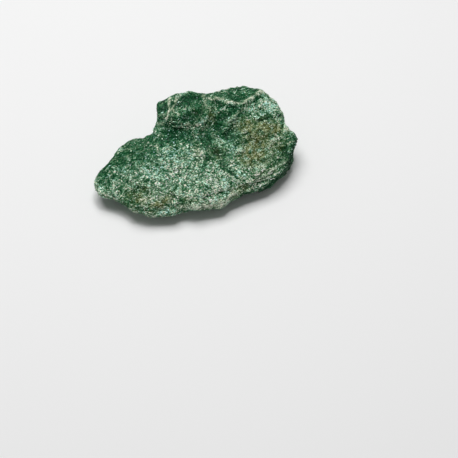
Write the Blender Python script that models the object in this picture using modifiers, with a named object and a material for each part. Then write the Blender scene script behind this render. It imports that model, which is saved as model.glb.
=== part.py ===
"""Raw fuchsite: one rough lump of green mica schist, 72 mm long, lying on its flat underside.

The lump split along its mica sheets, so its broad face and its base are cleavage faces and its
rim is a stack of torn sheet edges. It is shaped square to the line of sight, where +X is to the
right, +Y runs up the broad face and +Z stands out of it, and is then tipped onto its base.
Lengths are in millimetres until the finished mesh is scaled to metres.
"""

import math

import bmesh
import bpy
import numpy as np
from mathutils import Matrix, Vector, noise

NAME = "fuchsite_stone"
MM = 0.001

# The rim of the broad face seen square on, anticlockwise from the notch above the left lobe.
OUTLINE = [
    (-15.5, 30.4), (-18.6, 28.5), (-22.7, 28.2), (-25.4, 26.9), (-28.1, 25.1), (-29.1, 23.0),
    (-30.6, 20.9), (-31.8, 18.8), (-33.9, 17.1), (-35.4, 15.2), (-36.3, 12.5), (-35.8, 9.7),
    (-34.5, 8.0), (-32.8, 7.2), (-29.0, 6.3), (-26.5, 4.9), (-22.5, 2.2), (-19.4, 1.2),
    (-16.9, 0.3), (-12.6, 0.0), (-8.1, 0.8), (-5.5, 1.6), (-2.0, 2.6), (3.8, 2.5),
    (7.6, 3.0), (9.7, 3.7), (11.6, 5.5), (13.7, 6.9), (17.9, 8.5), (22.1, 9.1),
    (25.5, 10.5), (28.5, 12.7), (30.6, 14.6), (33.3, 18.2), (34.4, 20.2), (34.4, 23.3),
    (35.7, 26.9), (36.1, 28.3), (35.5, 29.8), (32.3, 32.5), (31.3, 34.5), (31.2, 36.7),
    (29.9, 39.2), (28.2, 42.4), (26.1, 43.2), (25.0, 45.0), (22.7, 46.6), (20.4, 47.0),
    (18.9, 46.7), (17.6, 47.5), (14.7, 47.4), (11.3, 46.3), (7.2, 45.3), (5.0, 44.5),
    (-0.7, 44.8), (-3.2, 45.0), (-8.1, 44.1), (-10.1, 43.3), (-11.2, 42.2), (-14.0, 41.5),
    (-14.8, 40.0), (-14.2, 37.8), (-14.3, 34.6), (-15.3, 32.0),
]

# How far the line of sight leans back from upright.
LEAN = math.radians(35)

# The broad face without relief: height over the base at its lower rim, fall to the top, crown.
RIM_HEIGHT = 8.0
FACE_FALL = 0.40
FACE_CROWN = 0.0032
FACE_CENTRE = (-2.0, 20.0)

# The sides: thickness of the rim, thickening inwards from it, and how long and strong both vary.
RIM_THICKNESS = 2.4
RIM_VARIES = (11.0, 0.4)
SIDE_SLOPE = 1.6
SLOPE_VARIES = (9.0, 0.25)
EDGE_ROUNDING = 1.3

# Lines across the broad face. They run on past the rim, and each has a left and a right side.
MARGIN = [
    (-40.0, 9.5), (-33.0, 16.3), (-28.0, 19.3), (-22.0, 22.6), (-15.5, 27.4), (-15.6, 31.5),
    (-16.0, 40.0), (-17.0, 50.0),
]
BLOCK_FOOT = [
    (-20.0, 28.8), (-14.0, 28.6), (-9.0, 28.0), (-4.3, 28.9), (-0.6, 29.4), (3.0, 28.0),
    (7.0, 26.4), (10.6, 27.0), (13.6, 30.4), (16.4, 34.8), (19.4, 39.6), (23.0, 44.0), (29.0, 51.0),
]
RIGHT_RISE = [(-16.0, 60.0), (-10.0, 34.0), (2.0, 22.0), (16.0, 21.0), (42.0, 27.0)]
SHELF = [
    (20.0, 52.0), (17.2, 41.4), (15.6, 37.0), (15.4, 33.8), (18.4, 33.4), (20.9, 34.3),
    (23.4, 35.4), (27.0, 36.1), (40.0, 37.6),
]
CREST = [
    (-6.0, 48.0), (-1.0, 44.6), (1.1, 43.6), (5.4, 43.3), (9.0, 42.3), (11.5, 41.2),
    (14.8, 40.8), (17.0, 41.0), (19.1, 42.3), (21.6, 44.3), (26.0, 50.0),
]
FOLD = [(16.8, 41.0), (14.0, 37.6), (11.5, 34.0), (9.6, 30.4)]
SPUR = [(5.8, 43.3), (4.2, 39.4), (2.4, 35.1), (0.4, 30.6)]
RIGHT_EDGE = [
    (42.0, 34.0), (35.6, 29.4), (34.0, 25.0), (32.9, 21.4), (31.7, 18.4), (29.3, 16.1),
    (26.8, 13.4), (23.4, 11.3), (19.5, 9.6), (15.4, 7.8), (13.0, 3.0),
]
LOWER_LIP = [(14.0, 9.0), (9.5, 6.4), (4.0, 5.0), (-1.0, 4.9), (-5.0, 3.9), (-9.0, 0.0), (-10.0, -4.0)]
LOWER_CREASE = [(-1.0, 6.6), (-4.6, 5.6), (-8.3, 4.1), (-13.3, 3.2), (-16.6, 1.7), (-22.0, -0.5)]
LOWER_RIDGE = [(-21.2, 4.7), (-16.2, 5.4), (-11.9, 7.2), (-7.6, 9.2)]
RIGHT_CRACK = [(13.6, 28.6), (16.1, 29.4), (18.7, 29.8)]
STRIATIONS = [
    [(31.6, 24.0), (29.4, 20.0), (25.6, 16.8), (20.6, 13.4)],
    [(30.2, 19.0), (26.4, 14.8), (21.4, 11.6)],
]
VEINS = [
    [(-9.0, 43.3), (-9.7, 40.5), (-10.1, 37.9), (-10.8, 34.6)],
    [(-6.6, 43.2), (-7.9, 40.1), (-9.7, 38.3)],
    [(-8.6, 38.6), (-6.1, 36.9)],
]

# Sheets left standing on one side: line, width of the riser, height gained on its left.
STEPS = [
    (BLOCK_FOOT, 8.0, 3.2),
    (RIGHT_RISE, 20.0, 2.6),
    (SHELF, 0.8, 0.8),
    (LOWER_LIP, 1.0, -1.0),
    (LOWER_CREASE, 0.8, -1.2),
]
RISER_AHEAD = 0.1

# Where the broad face turns down towards the rim: line, fall on its left for each millimetre.
FALLS = [
    (MARGIN, 1.05),
    (CREST, 1.0),
    (RIGHT_EDGE, 2.3),
]

# Ridges: line, half width, height. The cracks and striations are sunken ridges.
RIDGES = [
    (SPUR, 1.9, 1.4),
    (FOLD, 1.1, 1.5),
    (CREST, 0.8, 0.6),
    (LOWER_RIDGE, 1.9, 1.0),
    (RIGHT_CRACK, 0.7, -0.6),
]
RIDGES += [(vein, 0.6, 0.6) for vein in VEINS]
RIDGES += [(line, 0.6, -0.7) for line in STRIATIONS]

# Scoops and pits in the broad face: centre, half sizes, turn in degrees, depth.
SCOOPS = [
    ((-7.4, 31.6), (5.4, 2.8), -22, 2.4),
    ((-1.8, 36.4), (3.2, 2.2), 10, 1.5),
    ((8.2, 33.2), (3.4, 5.4), 15, 3.2),
    ((13.4, 38.6), (2.4, 1.6), 40, 1.2),
    ((-1.4, 42.4), (2.8, 1.5), 0, 1.0),
    ((30.6, 24.3), (2.2, 1.7), 30, 1.0),
    ((-18.0, 9.0), (4.6, 1.6), 8, 1.3),
    ((-2.6, 6.4), (3.0, 1.2), 10, 1.1),
    ((3.6, 21.0), (2.0, 1.2), 0, 0.6),
]

# Swellings of the broad face: centre, half sizes, turn in degrees, height.
SWELLINGS = [
    ((-12.2, 37.0), (2.2, 4.4), 0, 0.8),
    ((22.0, 30.0), (6.4, 3.4), 10, 0.9),
    ((-27.5, 12.0), (5.0, 3.6), 20, 0.7),
]

# Lumps of the broad face and grain of the whole surface: size, octaves, height.
LUMPS = [(13.0, 3, 0.8), (4.4, 3, 0.6)]
GRAIN = [(3.2, 3, 0.2), (7.5, 2, 0.25)]

# The mica sheets: thickness, the way they face, and the size and height of their waves.
SHEET = 1.25
SHEET_NORMAL = (0.05, FACE_FALL, 1.0)
SHEET_WAVES = (22.0, 1.4)

# How strongly a surface that crosses the sheets breaks into ledges, and where in a sheet it steps.
LEDGES_ON_FACE = 0.25
LEDGES_ON_RIM = 0.8
LEDGES_FROM_RIM = 7.0
STEP_FROM, STEP_TO = 0.3, 0.7

# Torn sides: thickness of a layer, how deep it may be torn back, and how far one tear runs.
LAYERS = [(3.2, 2.2, 12.0), (1.5, 0.9, 6.0)]
LAYER_EDGE = 0.65

# Depth below the rim where tearing starts and where it is full, and its fading under the base.
TEAR_FROM, TEAR_FULL = 1.0, 3.5
TEAR_PAST_SIDE = 3.0
RIM_BLUR = 1.5

# The underside's hollows: size, height, and their usual, lowest and highest level over the base.
HOLLOWS = (15.0, 1.8)
HOLLOW_LEVELS = (0.25, -0.7, 2.2)

# Fineness of the working mesh, triangles of the finished one, and the wear that both make up for.
SLAB_VOXEL = 0.8
LUMP_VOXEL = 0.5
TRIANGLES = 9000
SWELL = 0.2

# Side of the block that cuts the base flat.
CUTTER = 120.0


def ease(share):
    """0 below 0, 1 above 1, and a smooth turn between."""
    share = np.clip(share, 0.0, 1.0)
    return share * share * (3.0 - 2.0 * share)


def ways_from(points, line):
    """For each point and stretch of a line: the way to the point, its length, and its side."""
    start, end = np.array(line[:-1]), np.array(line[1:])
    run = end - start
    away = points[:, None, :] - start
    share = np.clip((away * run).sum(2) / (run * run).sum(1), 0.0, 1.0)
    way = away - share[:, :, None] * run
    cross = run[:, 0] * away[:, :, 1] - run[:, 1] * away[:, :, 0]
    return way, np.hypot(way[:, :, 0], way[:, :, 1]), np.sign(cross)


def left_of(points, line):
    """Distance from a line, negative on its right."""
    _, distance, side = ways_from(points, line)
    return (distance * side)[np.arange(len(points)), distance.argmin(1)]


def beside(points, line, width):
    """1 on a line, falling smoothly to 0 beyond its width."""
    return np.exp(-((left_of(points, line) / width) ** 2))


def oval(points, centre, radii, turn):
    """1 at the centre of an oval, falling smoothly to 0 well outside it."""
    away = points - np.array(centre)
    c, s = math.cos(math.radians(turn)), math.sin(math.radians(turn))
    along = (away[:, 0] * c + away[:, 1] * s) / radii[0]
    across = (away[:, 1] * c - away[:, 0] * s) / radii[1]
    return np.exp(-(along**2 + across**2))


def fractal(points, size, octaves, seed):
    """Fractal noise, about -1 to 1, with lumps of this size. Flat points lie at height 0."""
    shift = Vector((seed * 7.3, seed * 3.1, seed * 11.9))
    deep = np.zeros((len(points), 3))
    deep[:, : points.shape[1]] = points
    return np.array([noise.fractal(Vector(p) / size + shift, 1.0, 2.0, octaves) for p in deep])


def in_sheets(height, share):
    """Breaks a height into ledges one sheet thick. A share of 0 leaves it smooth."""
    level = height / SHEET
    below = np.floor(level)
    ledge = below + ease((level - below - STEP_FROM) / (STEP_TO - STEP_FROM))
    return height + share * SHEET * (ledge - level)


def plain_face(xy):
    """The broad face without its relief."""
    away = xy - np.array(FACE_CENTRE)
    rim = RIM_HEIGHT / math.cos(LEAN)
    return rim - FACE_FALL * xy[:, 1] - FACE_CROWN * (away**2).sum(1)


def base_plane(xy):
    """The plane that the stone rests on."""
    return -xy[:, 1] * math.tan(LEAN)


def relief(xy, inward):
    """Everything that stands out of the broad face or is sunk into it."""
    height = np.zeros(len(xy))
    for line, width, rise in STEPS:
        height += rise * ease(left_of(xy, line) / width + RISER_AHEAD)
    for line, fall in FALLS:
        height -= fall * np.maximum(left_of(xy, line), 0.0)
    for line, width, rise in RIDGES:
        height += rise * beside(xy, line, width)
    for centre, radii, turn, depth in SCOOPS:
        height -= depth * oval(xy, centre, radii, turn)
    for centre, radii, turn, rise in SWELLINGS:
        height += rise * oval(xy, centre, radii, turn)
    for seed, (size, octaves, rise) in enumerate(LUMPS, start=1):
        height += rise * fractal(xy, size, octaves, seed)
    near_rim = 1.0 - ease(inward / LEDGES_FROM_RIM)
    on_block = ease(left_of(xy, BLOCK_FOOT) / LEDGES_FROM_RIM)
    share = LEDGES_ON_FACE + (LEDGES_ON_RIM - LEDGES_ON_FACE) * np.maximum(near_rim, on_block)
    return in_sheets(height, share)


def front_of(xy, inward):
    """Height of the front surface for points this far inside the rim."""
    rounding = np.clip(1.0 - inward / EDGE_ROUNDING, 0.0, 1.0)
    return plain_face(xy) + relief(xy, inward) - EDGE_ROUNDING * (1.0 - np.sqrt(1.0 - rounding**2))


def underside_of(xy, inward, front):
    """Height of the underside: it slopes in from the rim until it meets the hollowed base."""
    usual, lowest, highest = HOLLOW_LEVELS
    hollows = np.clip(usual + HOLLOWS[1] * fractal(xy, HOLLOWS[0], 2, 3), lowest, highest)
    thickness = RIM_THICKNESS * (1.0 + RIM_VARIES[1] * fractal(xy, RIM_VARIES[0], 2, 4))
    thickness += SIDE_SLOPE * inward * (1.0 + SLOPE_VARIES[1] * fractal(xy, SLOPE_VARIES[0], 2, 5))
    base = base_plane(xy) + hollows / math.cos(LEAN)
    return np.maximum(np.minimum(plain_face(xy), front) - thickness, base)


def clear_scene():
    for old in list(bpy.data.objects):
        bpy.data.objects.remove(old, do_unlink=True)


def mesh_copy(source, name):
    """A mesh object made from what an object looks like with its modifiers."""
    bpy.context.view_layer.update()
    graph = bpy.context.evaluated_depsgraph_get()
    mesh = bpy.data.meshes.new_from_object(source.evaluated_get(graph))
    copy = bpy.data.objects.new("copy", mesh)
    copy.matrix_world = source.matrix_world
    for collection in source.users_collection:
        collection.objects.link(copy)
    bpy.data.objects.remove(source, do_unlink=True)
    copy.name = mesh.name = name
    return copy


def remeshed(obj, voxel):
    modifier = obj.modifiers.new("Remesh", "REMESH")
    modifier.mode = "VOXEL"
    modifier.voxel_size = voxel
    return mesh_copy(obj, obj.name)


def read(mesh, what):
    """The mesh's points ("co") or point normals ("normal") as an array."""
    flat = np.empty(len(mesh.vertices) * 3, np.float32)
    mesh.vertices.foreach_get(what, flat)
    return flat.reshape(-1, 3).astype(float)


def move_points(mesh, points):
    mesh.vertices.foreach_set("co", points.astype(np.float32).ravel())
    mesh.update()


def way_inside(xy):
    """How far inside the rim each point lies, and the way in, which fades between two rims."""
    way, distance, side = ways_from(xy, OUTLINE + OUTLINE[:1])
    rows, nearest = np.arange(len(xy)), distance.argmin(1)
    inward = distance[rows, nearest]
    weight = np.exp((inward[:, None] - distance) / RIM_BLUR)
    weight *= side[rows, nearest, None] / (np.maximum(distance, 0.001) * weight.sum(1)[:, None])
    return inward, (way * weight[:, :, None]).sum(1)


def make_slab(collection):
    """A flat slab of the outline, from 1 below to 1 above the plane, remeshed evenly."""
    curve = bpy.data.curves.new("outline", "CURVE")
    curve.dimensions = "2D"
    curve.fill_mode = "BOTH"
    curve.extrude = 1.0
    spline = curve.splines.new("POLY")
    spline.points.add(len(OUTLINE) - 1)
    for point, (x, y) in zip(spline.points, OUTLINE):
        point.co = (x, y, 0.0, 1.0)
    spline.use_cyclic_u = True
    slab = bpy.data.objects.new(NAME, curve)
    collection.objects.link(slab)
    slab = mesh_copy(slab, NAME)
    soup = bmesh.new()
    soup.from_mesh(slab.data)
    bmesh.ops.remove_doubles(soup, verts=soup.verts, dist=0.0001)
    soup.to_mesh(slab.data)
    soup.free()
    return remeshed(slab, SLAB_VOXEL)


def shape_lump(slab):
    """Spreads the slab's two faces to the front surface and the underside."""
    points = read(slab.data, "co")
    xy = points[:, :2]
    inward, _ = way_inside(xy)
    front = front_of(xy, inward)
    under = underside_of(xy, inward, front)
    points[:, 2] = under + (front - under) * (points[:, 2] + 1.0) / 2.0
    move_points(slab.data, points)
    return remeshed(slab, LUMP_VOXEL)


def torn_back(xy, layer, reach):
    """How far a layer is torn back at a point, 0 to 1. Layers lie far apart in the noise."""
    spots = np.column_stack([xy / reach, layer * 5.7])
    return ease(0.5 + 1.1 * np.array([noise.noise(Vector(spot)) for spot in spots]))


def torn_depth(points):
    """How far the edge of the layer through each point is torn back."""
    xy = points[:, :2]
    across = np.array(SHEET_NORMAL) / np.linalg.norm(SHEET_NORMAL)
    level = points @ across + SHEET_WAVES[1] * fractal(points, SHEET_WAVES[0], 2, 6)
    torn = np.zeros(len(points))
    for thickness, depth, reach in LAYERS:
        layer = level / thickness
        lower = np.floor(layer)
        this, above = torn_back(xy, lower, reach), torn_back(xy, lower + 1.0, reach)
        torn += depth * (this + (above - this) * ease((layer - lower - LAYER_EDGE) / (1.0 - LAYER_EDGE)))
    return torn


def tear_sheets(lump):
    """Moves the torn edges in along the base, layer by layer, and grains the whole surface."""
    points, normals = read(lump.data, "co"), read(lump.data, "normal")
    xy = points[:, :2]
    inward, inwards = way_inside(xy)
    below_rim = front_of(xy, inward) - points[:, 2]
    side_reach = (plain_face(xy) - base_plane(xy) - RIM_THICKNESS) / SIDE_SLOPE
    torn = torn_depth(points) * ease((below_rim - TEAR_FROM) / (TEAR_FULL - TEAR_FROM))
    torn *= 1.0 - ease((inward - side_reach) / TEAR_PAST_SIDE)
    up_base = inwards[:, 1] * torn
    grain = np.full(len(points), SWELL)
    for seed, (size, octaves, rise) in enumerate(GRAIN, start=9):
        grain += rise * fractal(points, size, octaves, seed)
    points += normals * grain[:, None]
    points += np.column_stack(
        [inwards[:, 0] * torn, up_base * math.cos(LEAN), -up_base * math.sin(LEAN)]
    )
    move_points(lump.data, points)
    return remeshed(lump, LUMP_VOXEL)


def lighten(lump):
    modifier = lump.modifiers.new("Decimate", "DECIMATE")
    lump.data.calc_loop_triangles()
    modifier.ratio = TRIANGLES / len(lump.data.loop_triangles)
    return mesh_copy(lump, lump.name)


def lay_on_base(lump, cutters):
    """Tips the lump, puts the origin under its middle and cuts its underside flat."""
    lump.data.transform(Matrix.Rotation(LEAN, 4, "X"))
    points = read(lump.data, "co")
    kept = points[points[:, 2] > 0.0]
    middle = (kept.min(0) + kept.max(0)) / 2
    lump.data.transform(Matrix.Scale(MM, 4) @ Matrix.Translation((-middle[0], -middle[1], 0.0)))
    bpy.ops.mesh.primitive_cube_add(size=CUTTER * MM, location=(0.0, 0.0, -CUTTER / 2 * MM))
    cutter = bpy.context.object
    cutter.name = "ground_cutter"
    cutter.hide_render = True
    cutter.display_type = "WIRE"
    for collection in cutter.users_collection:
        collection.objects.unlink(cutter)
    cutters.objects.link(cutter)
    cut = lump.modifiers.new("Flat base", "BOOLEAN")
    cut.operation = "DIFFERENCE"
    cut.solver = "MANIFOLD"
    cut.object = cutter


def mica_green():
    material = bpy.data.materials.new("fuchsite")
    material.use_nodes = True
    shader = material.node_tree.nodes["Principled BSDF"]
    shader.inputs["Base Color"].default_value = (0.10, 0.24, 0.14, 1.0)
    shader.inputs["Roughness"].default_value = 0.45
    shader.inputs["Metallic"].default_value = 0.0
    return material


def main():
    clear_scene()
    parts = bpy.data.collections.new("raw_fuchsite")
    cutters = bpy.data.collections.new("cutters")
    for collection in (parts, cutters):
        bpy.context.scene.collection.children.link(collection)
    lump = lighten(tear_sheets(shape_lump(make_slab(parts))))
    lay_on_base(lump, cutters)
    lump.data.materials.clear()
    lump.data.materials.append(mica_green())


if __name__ == "__main__":
    main()
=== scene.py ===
"""Looks of one raw fuchsite stone: a lump of green mica schist, glittering with small flakes.

Places on the stone are given face on, as the camera sees it: x to the right, y up the picture and
w out of it, in millimetres. y is 0 at the lowest point of the rim and x is 0 near its middle.
A noise is given by the size of its lumps in millimetres, its octaves and its seed. A rise from
0 to 1 is given by where it starts and how much further on it ends.
"""

import math

import bmesh
import bpy
import numpy as np
from mathutils import Matrix, Vector, noise
from mathutils.kdtree import KDTree


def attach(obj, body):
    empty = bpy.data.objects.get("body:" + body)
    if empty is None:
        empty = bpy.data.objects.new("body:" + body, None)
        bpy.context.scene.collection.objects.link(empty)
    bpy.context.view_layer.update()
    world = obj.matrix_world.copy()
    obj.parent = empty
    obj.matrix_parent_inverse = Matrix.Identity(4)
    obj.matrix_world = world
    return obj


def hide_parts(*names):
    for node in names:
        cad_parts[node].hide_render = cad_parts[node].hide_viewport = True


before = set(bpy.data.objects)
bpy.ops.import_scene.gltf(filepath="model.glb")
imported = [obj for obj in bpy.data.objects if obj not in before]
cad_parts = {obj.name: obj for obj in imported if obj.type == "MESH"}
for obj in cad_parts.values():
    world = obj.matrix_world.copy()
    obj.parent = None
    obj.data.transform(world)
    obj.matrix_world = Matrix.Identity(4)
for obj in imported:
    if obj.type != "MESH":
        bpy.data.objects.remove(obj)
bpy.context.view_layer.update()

STONE = "fuchsite_stone"
MM = 0.001
SEED = 7

# The line of sight: its height over the horizon, the face-on axes, and the rim's middle face on.
SIGHT = math.radians(55)
RIGHT = np.array([1.0, 0.0, 0.0])
UP = np.array([0.0, math.sin(SIGHT), math.cos(SIGHT)])
OUT = np.array([0.0, -math.cos(SIGHT), math.sin(SIGHT)])
FACE_ON = np.array([RIGHT, UP, OUT])
RIM_MIDDLE = np.array([-0.1, 23.75])

# The photograph: its width in pixels, the size of a pixel, and the pixel at the rim's middle.
PICTURE = 458
PIXEL = 0.36 * MM
RIM_PIXEL = (196.8, 151.3)

# The camera: its distance in metres, and the width of its sensor in millimetres.
DISTANCE = 0.60
SENSOR = 36.0

# The studio, in metres and watts: each lamp's name, place, width and power, then the rest.
LAMPS = [
    ("overhead", (-0.10, 0.22, 0.80), 0.55, 5.9),
    ("glint", (0.06, 0.10, 0.75), 0.10, 0.6),
]
WHITE = (1.0, 1.0, 1.0, 1.0)
LIGHT_ALL_ROUND = 0.18
FLOOR_WIDTH = 8.0
FLOOR_FINISH = {
    "Base Color": (0.87, 0.87, 0.87, 1.0),
    "Roughness": 0.8,
    "Specular IOR Level": 0.2,
}

# The way the mica sheets face, face on, and how they sway: noise in x, noise in y, reach.
SHEET_TILT = np.array([0.05, 0.40, 1.0])
SHEET_NORMAL = SHEET_TILT / np.linalg.norm(SHEET_TILT)
SWAY = ((9.0, 2, 31), (9.0, 2, 32), 0.10)

# Waves in the lines and patches: noise in x, noise in y, reach.
WAVES = [
    ((3.0, 2, 21), (3.0, 2, 22), 0.6),
    ((1.1, 2, 28), (1.1, 2, 29), 0.25),
]

# Fractal noise: its fall and its step from octave to octave, and how far apart two seeds lie.
OCTAVE_FALL = 1.0
OCTAVE_STEP = 2.0
SEED_STEP = (7.3, 3.1, 11.9)

# How much of the range of tints the flakes of one place span.
TINT_RANGE = 0.8

# The way the flakes and the grain run, and their turn round the scoops, in degrees.
FLAKE_RUN = 10.0
FLAKE_TURN = -30.0
GRAIN_RUN = 30.0
GRAIN_TURN = -60.0

# Where they turn: centre, half sizes and turn of an oval, and how full the turn is in it.
TURNED_ZONE = ((1.0, 29.0), (13.0, 9.0), 0)
TURNED_STRENGTH = 1.6

# The working mesh: the gap in which two points are one, and the width of its faces.
WELD = 0.01
VOXEL = 0.31

# A length that counts as none.
TINY = 1e-9

# Rises by the way the surface faces: to the front, to flaked rock, upward, to the upper rim.
FRONT_RISE = (-0.05, 0.3)
FLAKED_RISE = (-0.1, 0.4)
UPWARD_RISE = (-0.30, 0.30)
RIM_RISE = (-0.1, 0.4)
RIM_WIDTH = 0.22

# Rises in millimetres over a line: margin and crest, foot of the block, right edge.
SMOOTH_RISE = (-0.8, 1.6)
BLOCK_RISE = (0.0, 2.0)
SIDE_RISE = (-0.6, 0.9)

# The upper end of the steep side on the right, and how softly it ends.
SIDE_TOP = 31.0
SIDE_FADE = 6.0

# Smooth rock and loose flakes: their strength on the hidden side and what the front adds.
SMOOTH_SHARES = (0.45, 0.55)
FLAKE_SHARES = (0.35, 0.65)

# Uneven strengths: middle, reach, noise. Then the least and most that each may be.
SEAM_BREAKS = (0.90, 1.3, 1.0, 2, 27)
SEAM_LIMITS = (0.0, 1.3)
CRACK_BREAKS = (0.95, 0.8, 1.6, 2, 37)
CRACK_LIMITS = (0.0, 1.2)
SIDE_MOTTLE = (0.75, 1.5, 2.2, 3, 43)
SIDE_LIMITS = (0.15, 1.3)

# The steep side's painted shade where it faces down, and what it gains facing up.
UNDER_SIDE_SHARES = (0.3, 0.7)

# Shade: its middle, and the mottles in it, each a strength and a noise.
MIDDLE_SHADE = 0.505
MOTTLES = [
    (0.11, 9.0, 2, 23),
    (0.23, 2.8, 3, 24),
    (0.17, 1.3, 2, 44),
]

# How much lighter or darker each place is, much of it by painted light and shade.
# The patches are partly the rock's own tone and partly painted light and shade.
PATCH_LIGHT = 0.36
# The rim gets a painted highlight.
RIM_LIGHT = 0.11
SEAM_LIGHT = 0.08
# Smooth rock that falls away from the broad face gets painted shade.
SMOOTH_PAINTED_SHADE = 0.27
BLOCK_DARK = 0.12
# The steep side gets painted shade.
SIDE_PAINTED_SHADE = 0.90
# Cracks and steps get painted shade.
CRACK_PAINTED_SHADE = 0.40

# Painted shade in crevices and lighter edges, partly wear and partly painted highlight: smoothing
# rounds, shade for each millimetre, least, most.
FINE_RELIEF = (6, 2.2, -0.28, 0.10)
BROAD_RELIEF = (56, 0.5, -0.20, 0.15)

# Stain: its strength and patches on the hidden side, and its mottle.
HIDDEN_STAIN = 0.20
HIDDEN_STAINS = (0.0, 1.4, 8.0, 3, 25)
STAIN_MOTTLE = (0.75, 0.9, 1.5, 2, 26)

# Cast: its middle and mottle.
CAST_MOTTLE = ((1.0 - TINT_RANGE) / 2.0, 0.26, 2.4, 3, 41)

# How much smoother the rock is on the hidden side and on the steep side.
HIDDEN_SMOOTH = 0.2
SIDE_SMOOTH = 0.15

# Torn sheet edges: height on flat rock, what steep rock adds, thickness of a sheet, seed.
TORN_EDGES = [
    (0.02, 0.24, 1.1, 33),
    (0.0, 0.22, 2.4, 34),
]

# Where rock counts as steep, how the sheets wave, and how each ends over its thickness.
STEEP = 0.5
SHEET_WAVE = 0.9
SHEET_WAVE_NOISE = (7.0, 2)
SHEET_LIP = 0.8
SHEET_LIP_FALL = 0.2

# Tilted facets: height, width, and the most that one may rise or sink, in heights.
FACETS = [
    (0.08, 0.9),
    (0.12, 2.4),
]
FACET_MOST = 1.5
SMOOTH_FLATTENS = 0.6

# Grain, each a height and a noise, then pits, seams and cracks.
GRAINS = [
    (0.16, 1.7, 3, 35),
    (0.16, 4.0, 2, 38),
]
PIT_DEPTH = 0.20
PIT_NOISE = (1.2, 2, 36)
PIT_RISE = (0.30, 0.5)
SEAM_HEIGHT = 0.06
CRACK_DEPTH = 0.24

# The loose flakes: piece, how many, and their usual radius.
FLAKE_GROUPS = [
    ("mica_flakes", 12300, 0.150),
    ("fine_mica_flakes", 12300, 0.105),
]

# Where loose flakes lie: not on the base, and fewer on these kinds of rock.
BASE_HEIGHT = 0.05
FEWER_FLAKES = {"smooth": 0.75, "calm": 0.8, "seam": 0.9}

# How a loose flake lies: its pull to the sheets and to the rock, and how its tilt and run vary.
SHEET_PULL = 0.45
ROCK_PULL = 0.55
ROCK_PULL_POWER = 0.5
TILT_SPREAD = 0.16
RUN_SPREAD = 0.6

# The form of a loose flake: sides, half thickness, corners, size, length over width, height.
FLAKE_SIDES = (4, 5, 6)
FLAKE_HALF = 0.025
CORNER_TURN = (-0.3, 0.3)
CORNER_REACH = (0.75, 1.1)
SIZE_SPREAD = 0.40
SIZE_LIMITS = (0.65, 4.0)
LENGTH_TO_WIDTH = (1.0, 2.6)
LIFT = (-0.03, 0.04)
SUNK = 0.7

# The tone of a loose flake: its middle, its spread on dark rock and what light rock adds.
TONE_MIDDLE = 0.04
TONE_SPREAD = (0.15, 0.28)

# Flakes with a painted glint: how many, their tone, how much it hides the rock's shade, their hues.
PAINTED_GLINT_SHARE = 0.09
PAINTED_GLINT_TONE = 1.05
SHADE_HIDDEN = 0.95
PAINTED_GLINT_HUE = 0.5

# How a loose flake takes the rock's stain, and the power by which it takes its seams.
FLAKE_STAIN = 0.6
FLAKE_SEAM_POWER = 2

# Grains in the materials: long, wide and thick in millimetres, and the detail within them.
PACKED_FLAKE = (0.42, 0.28, 0.18)
ROCK_GRAIN = (0.27, 0.20, 0.16)
ROCK_STREAK = (2.4, 0.55, 0.30)
FLAKE_STREAK = (0.4, 0.3, 0.3)
GRAIN_DETAIL = 2.0

# Contrast of the rock's flakes by shade and in calm spots, each a factor and an amount added.
LIVELY = (0.74, 0.42)
CALMED = (-0.6, 1.0)

# The middle of that contrast, and how strongly the fine grain adds to it.
SPREAD_MIDDLE = 1.40
GRAIN_SPREAD = 1.70

# Painted glints and dark gaps among the packed flakes, each a sharpness and a tone, and the streaks.
GLINT_POWER = 12.0
GLINT_TONE = 0.4
GAP_POWER = 8.0
GAP_TONE = -0.9
STREAK_MIDDLE = 0.5
STREAK_DEPTH = (0.7, 1.0)

# Roughness, tilt and bump of the rock, and its finish.
ROCK_ROUGHNESS = (-0.3, 0.66)
TILT_MIDDLE = (0.5, 0.5, 0.5)
FLAKE_TILT = (0.7, 0.7, 0.7)
BUMP = {"Strength": 0.6, "Distance": 0.15 * MM}
ROCK_FINISH = {
    "Specular IOR Level": 0.10,
    "Specular Tint": (0.75, 1.0, 0.82, 1.0),
}

# Streaks in the tone and roughness of the loose flakes, and their pearly finish.
FLAKE_STREAK_TONE = (0.30, -0.15)
FLAKE_ROUGHNESS = (0.25, 0.16)
FLAKE_FINISH = {
    "Specular IOR Level": 0.25,
    "Specular Tint": (0.85, 1.0, 0.9, 1.0),
    "Coat Weight": 0.15,
    "Coat Roughness": 0.12,
}

# The sockets of a colour mix: factor, first colour, second colour, result.
MIX_FACTOR, MIX_FIRST, MIX_SECOND, MIX_RESULT = 0, 6, 7, 2

# Lines on the stone, face on. Each has what lies beyond the broad face on its left.
MARGIN = [
    (-40.0, 9.5), (-33.0, 16.3), (-28.0, 19.3), (-22.0, 22.6), (-15.5, 27.4), (-15.6, 31.5),
    (-16.0, 40.0), (-17.0, 50.0),
]
BLOCK_FOOT = [
    (-20.0, 28.8), (-14.0, 28.6), (-9.0, 28.0), (-4.3, 28.9), (-0.6, 29.4), (3.0, 28.0),
    (7.0, 26.4), (10.6, 27.0), (13.6, 30.4), (16.4, 34.8), (19.4, 39.6), (23.0, 44.0), (29.0, 51.0),
]
CREST = [
    (-6.0, 48.0), (-1.0, 44.6), (1.1, 43.6), (5.4, 43.3), (9.0, 42.3), (11.5, 41.2),
    (14.8, 40.8), (17.0, 41.0), (19.1, 42.3), (21.6, 44.3), (26.0, 50.0),
]
RIGHT_EDGE = [
    (42.0, 34.0), (35.6, 29.4), (34.2, 25.0), (33.3, 21.2), (32.3, 17.9), (30.3, 15.4),
    (28.0, 12.8), (23.8, 10.4), (19.6, 9.1), (15.4, 7.6), (13.0, 3.0),
]

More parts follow.
